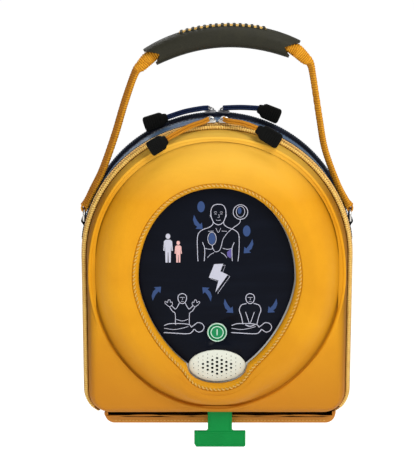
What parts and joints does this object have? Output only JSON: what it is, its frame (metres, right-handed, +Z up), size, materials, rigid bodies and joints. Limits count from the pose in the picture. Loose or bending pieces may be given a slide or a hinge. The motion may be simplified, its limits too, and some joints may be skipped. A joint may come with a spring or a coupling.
{
  "type": "defibrillator",
  "caption": "Automated external defibrillator in a moulded carry case: windowed front flap, zipped rear pocket, hanging carry handle, power button and pull-out electrode tray.",
  "frame": {"origin": "middle of the hand grip, where a hand or a hook holds the handle", "axes": "+Z up along the hanging line, front towards -Y, +X to the right seen from the front"},
  "size_m": [0.2444, 0.1054, 0.3864],
  "materials": {
    "yellow_shell": "moulded foam-backed fabric, satin, amber yellow",
    "yellow_edge": "bound fabric edge with stitching, amber yellow",
    "yellow_webbing": "woven webbing and zip tape, amber yellow",
    "blue_band": "woven nylon, steel blue",
    "dark_fabric": "woven nylon, dark blue",
    "dark_zip": "zip tape and piping, blue-black",
    "black_rubber": "moulded rubber, matt black",
    "steel": "plated steel",
    "pale_plastic": "moulded plastic, fine texture, off-white",
    "navy_membrane": "printed membrane, satin, near-black navy",
    "green_plastic": "moulded plastic, satin, green",
    "circuit_board": "glass-fibre board with a green mask",
    "black_plastic": "moulded plastic, matt black",
    "blue_sleeve": "metal can in a blue sleeve",
    "copper": "enamelled copper winding",
    "white_film": "thin white film and foam"
  },
  "bodies": {
    "carry_handle": {"hand_grip": "black_rubber", "carry_strap": "yellow_webbing"},
    "case": {"base_ledge": "yellow_shell", "middle_band": "blue_band", "divider_panel": "dark_fabric", "front_hinge_strip": "dark_fabric", "rear_hinge_strip": "dark_fabric", "front_zip_band_tape": "dark_zip", "rear_zip_band_tape": "dark_zip", "ring_anchor_left": "black_rubber", "ring_anchor_right": "black_rubber", "housing_seal": "black_rubber", "side_ring_left": "steel", "side_ring_right": "steel", "housing_screw_upper_left": "steel", "housing_screw_upper_right": "steel", "housing_screw_lower_left": "steel", "housing_screw_lower_right": "steel", "button_dome_spring": "steel", "device_front_housing": "pale_plastic", "device_rear_housing": "pale_plastic", "speaker_grille": "pale_plastic", "button_ring": "pale_plastic", "cartridge_shell": "pale_plastic", "membrane_label": "navy_membrane", "main_board": "circuit_board", "discharge_relay": "black_plastic", "cartridge_connector": "black_plastic", "speaker_driver": "black_plastic", "high_voltage_capacitor": "blue_sleeve", "battery_cell_1": "blue_sleeve", "battery_cell_2": "blue_sleeve", "battery_cell_3": "blue_sleeve", "battery_cell_4": "blue_sleeve", "charging_transformer": "copper"},
    "front_flap": {"front_shell": "yellow_shell", "window_binding": "yellow_edge", "front_piping": "yellow_edge", "front_zip_flap_tape": "yellow_webbing"},
    "rear_flap": {"rear_shell": "dark_fabric", "rear_piping": "dark_zip", "rear_zip_flap_tape": "dark_zip"},
    "slider_front_left": {"zip_slider_front_left": "steel"},
    "slider_front_right": {"zip_slider_front_right": "steel"},
    "slider_rear_left": {"zip_slider_rear_left": "black_plastic"},
    "slider_rear_right": {"zip_slider_rear_right": "black_plastic"},
    "pull_front_left": {"pull_loop_front_left": "yellow_webbing", "pull_grip_front_left": "black_rubber"},
    "pull_front_right": {"pull_loop_front_right": "yellow_webbing", "pull_grip_front_right": "black_rubber"},
    "pull_rear_left": {"pull_loop_rear_left": "dark_fabric", "pull_grip_rear_left": "black_rubber"},
    "pull_rear_right": {"pull_loop_rear_right": "dark_fabric", "pull_grip_rear_right": "black_rubber"},
    "power_button": {"on_off_button": "green_plastic"},
    "electrode_drawer": {"electrode_tray": "white_film", "electrode_pad_front": "white_film", "electrode_pad_rear": "white_film", "pull_tab": "green_plastic"}
  },
  "joints": [
    {"name": "case_swing", "type": "hinge", "parent": "carry_handle", "child": "case", "pos_m": [0, 0, -0.162], "axis": [1, 0, 0], "range_deg": [-9, 22]},
    {"name": "front_flap_hinge", "type": "hinge", "parent": "case", "child": "front_flap", "pos_m": [0, -0.012, -0.3478], "axis": [1, 0, 0], "range_deg": [0, 65]},
    {"name": "rear_flap_hinge", "type": "hinge", "parent": "case", "child": "rear_flap", "pos_m": [0, 0.0307, -0.3478], "axis": [-1, 0, 0], "range_deg": [0, 100]},
    {"name": "slider_front_left_travel", "type": "hinge", "parent": "front_flap", "child": "slider_front_left", "pos_m": [0, -0.012, -0.196], "axis": [0, -1, 0], "range_deg": [0, 64]},
    {"name": "slider_front_right_travel", "type": "hinge", "parent": "front_flap", "child": "slider_front_right", "pos_m": [0, -0.012, -0.196], "axis": [0, 1, 0], "range_deg": [0, 64]},
    {"name": "slider_rear_left_travel", "type": "hinge", "parent": "rear_flap", "child": "slider_rear_left", "pos_m": [0, 0.0307, -0.196], "axis": [0, -1, 0], "range_deg": [0, 64]},
    {"name": "slider_rear_right_travel", "type": "hinge", "parent": "rear_flap", "child": "slider_rear_right", "pos_m": [0, 0.0307, -0.196], "axis": [0, 1, 0], "range_deg": [0, 64]},
    {"name": "pull_front_left_lift", "type": "hinge", "parent": "slider_front_left", "child": "pull_front_left", "pos_m": [-0.0062, -0.012, -0.0705], "axis": [0, 1, 0], "range_deg": [0, 100]},
    {"name": "pull_front_right_lift", "type": "hinge", "parent": "slider_front_right", "child": "pull_front_right", "pos_m": [0.0062, -0.012, -0.0705], "axis": [0, -1, 0], "range_deg": [0, 100]},
    {"name": "pull_rear_left_lift", "type": "hinge", "parent": "slider_rear_left", "child": "pull_rear_left", "pos_m": [-0.0062, 0.0307, -0.0705], "axis": [0, 1, 0], "range_deg": [0, 100]},
    {"name": "pull_rear_right_lift", "type": "hinge", "parent": "slider_rear_right", "child": "pull_rear_right", "pos_m": [0.0062, 0.0307, -0.0705], "axis": [0, -1, 0], "range_deg": [0, 100]},
    {"name": "power_button_press", "type": "slide", "parent": "case", "child": "power_button", "axis": [0, 1, 0], "range_m": [0, 0.0012], "stiffness_N_per_m": 800, "springref_m": -0.0015},
    {"name": "electrode_drawer_pull", "type": "slide", "parent": "case", "child": "electrode_drawer", "axis": [0, 0, -1], "range_m": [0, 0.085]}
  ]
}
